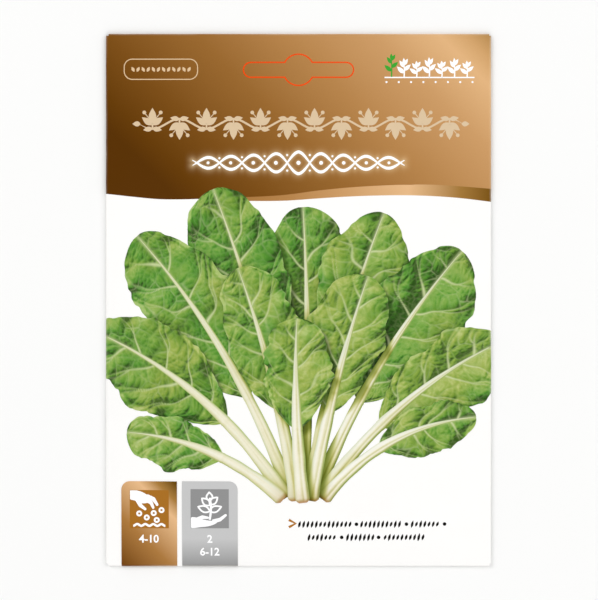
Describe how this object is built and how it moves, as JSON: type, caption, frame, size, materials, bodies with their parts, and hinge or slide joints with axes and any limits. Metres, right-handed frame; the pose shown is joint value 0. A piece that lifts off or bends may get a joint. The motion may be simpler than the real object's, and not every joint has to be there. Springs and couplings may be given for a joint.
{
  "type": "seed packet",
  "caption": "Sealed flat paper seed packet with folded end flaps, a hang slot tab in its header and loose seed inside.",
  "frame": {"origin": "on the resting plane, under the middle of the packet's footprint", "axes": "+Y along the packet's height towards the header edge, +X across the front to the right, +Z out of the printed front"},
  "size_m": [0.115, 0.159, 0.0073],
  "materials": {
    "printed_paper": "satin",
    "header_print": "satin",
    "adhesive": "satin",
    "seed_husk": "matte"
  },
  "bodies": {
    "root": {"paper_envelope": "printed_paper", "hang_slot_tab": "header_print", "side_seam_glue": "adhesive", "bottom_flap_glue": "adhesive", "top_flap_glue": "adhesive", "header_glue": "adhesive", "seed_heap_1": "seed_husk", "seed_heap_2": "seed_husk", "seed_heap_3": "seed_husk", "seed_heap_4": "seed_husk"}
  },
  "joints": []
}
